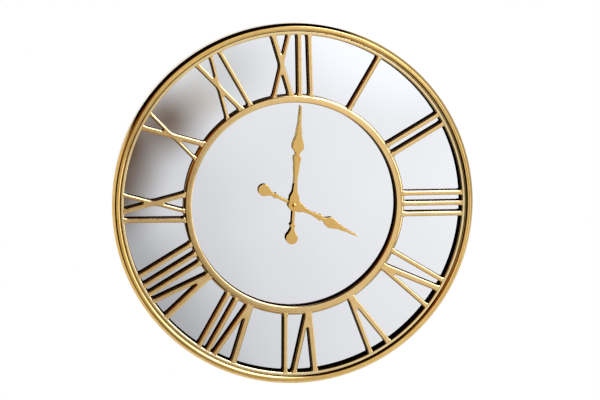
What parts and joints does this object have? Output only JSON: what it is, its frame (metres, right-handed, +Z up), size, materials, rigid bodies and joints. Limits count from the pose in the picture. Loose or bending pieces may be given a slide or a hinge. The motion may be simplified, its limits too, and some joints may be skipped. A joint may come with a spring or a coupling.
{
  "type": "mirror wall clock",
  "caption": "Round gold wall clock with openwork Roman numerals between two rings over a mirror disc, spade hands and a quartz movement behind.",
  "frame": {"origin": "centre of the keyhole's entry hole in the hanger plate, on the wall plane", "axes": "+Z up, front faces -Y, +X to the viewer's right, +Y into the wall along the keyhole"},
  "size_m": [0.6049, 0.046, 0.605],
  "materials": {
    "gold_casting": "gold-plated, polished casting",
    "gold_hands": "gold-plated sheet, satin",
    "brass": "turned",
    "zinc_steel": "zinc plated",
    "bright_steel": "bright",
    "mirror": "silvered float glass",
    "fibreboard": "raw fibreboard",
    "rubber": "matt",
    "black_plastic": "fine spark texture",
    "white_plastic": "moulded",
    "copper": "enamelled copper wire",
    "board": "solder mask",
    "chip": "moulded",
    "battery": "printed sleeve, no lettering"
  },
  "bodies": {
    "frame": {"side_band": "gold_casting", "bezel": "gold_casting", "lip_ring": "gold_casting", "inner_ring": "gold_casting", "numeral_1": "gold_casting", "numeral_2": "gold_casting", "numeral_3": "gold_casting", "numeral_4": "gold_casting", "numeral_5": "gold_casting", "numeral_6": "gold_casting", "numeral_7": "gold_casting", "numeral_8": "gold_casting", "numeral_9": "gold_casting", "numeral_10": "gold_casting", "numeral_11": "gold_casting", "numeral_12": "gold_casting", "mirror_glass": "mirror", "back_panel": "fibreboard", "panel_lugs": "zinc_steel", "lug_screws": "zinc_steel", "hanger_plate": "zinc_steel", "rubber_washer": "rubber", "flat_washer": "brass", "hex_nut": "brass", "movement_case": "black_plastic", "threaded_bush": "brass", "rear_cover": "black_plastic", "train_plate": "white_plastic", "stator": "bright_steel", "coil_bobbin": "white_plastic", "coil_winding": "copper", "circuit_board": "board", "quartz_crystal": "bright_steel", "timing_chip": "chip", "positive_contact": "bright_steel", "negative_contact": "bright_steel"},
    "minute": {"minute_arbor": "brass", "minute_hand": "gold_hands", "hand_nut": "gold_hands"},
    "hour": {"hour_wheel": "white_plastic", "hour_hand": "gold_hands"},
    "minute_work": {"minute_work_wheel": "white_plastic", "setting_knob": "black_plastic"},
    "seconds": {"seconds_wheel": "white_plastic"},
    "third": {"third_wheel": "white_plastic"},
    "clutch": {"clutch_wheel": "white_plastic"},
    "intermediate": {"intermediate_wheel": "white_plastic"},
    "rotor": {"rotor": "bright_steel"},
    "battery": {"battery": "battery"}
  },
  "joints": [
    {"name": "minute_spin", "type": "hinge", "parent": "frame", "child": "minute", "pos_m": [0, -0.012, -0.266], "axis": [0, 1, 0], "continuous": true},
    {"name": "hour_spin", "type": "hinge", "parent": "frame", "child": "hour", "pos_m": [0, -0.012, -0.266], "axis": [0, 1, 0], "continuous": true},
    {"name": "minute_work_spin", "type": "hinge", "parent": "frame", "child": "minute_work", "pos_m": [0, -0.012, -0.2525], "axis": [0, 1, 0], "continuous": true},
    {"name": "rotor_spin", "type": "hinge", "parent": "frame", "child": "rotor", "pos_m": [0.01522, -0.012, -0.26046], "axis": [0, 1, 0], "continuous": true},
    {"name": "intermediate_spin", "type": "hinge", "parent": "frame", "child": "intermediate", "pos_m": [0.00958, -0.012, -0.26251], "axis": [0, 1, 0], "continuous": true},
    {"name": "seconds_spin", "type": "hinge", "parent": "frame", "child": "seconds", "pos_m": [0, -0.012, -0.266], "axis": [0, 1, 0], "continuous": true},
    {"name": "third_spin", "type": "hinge", "parent": "frame", "child": "third", "pos_m": [-0.0102, -0.012, -0.266], "axis": [0, 1, 0], "continuous": true},
    {"name": "clutch_spin", "type": "hinge", "parent": "frame", "child": "clutch", "pos_m": [0, -0.012, -0.266], "axis": [0, 1, 0], "continuous": true},
    {"name": "battery_slide", "type": "slide", "parent": "frame", "child": "battery", "axis": [0, 1, 0], "range_m": [0, 0.03]}
  ],
  "couplings": [
    {"joint": "hour_spin", "follows": "minute_spin", "ratio": 0.083333},
    {"joint": "minute_work_spin", "follows": "minute_spin", "ratio": -0.33333},
    {"joint": "intermediate_spin", "follows": "rotor_spin", "ratio": -0.25},
    {"joint": "seconds_spin", "follows": "rotor_spin", "ratio": 0.033333},
    {"joint": "third_spin", "follows": "rotor_spin", "ratio": -0.0044444},
    {"joint": "clutch_spin", "follows": "rotor_spin", "ratio": 0.00055556}
  ]
}
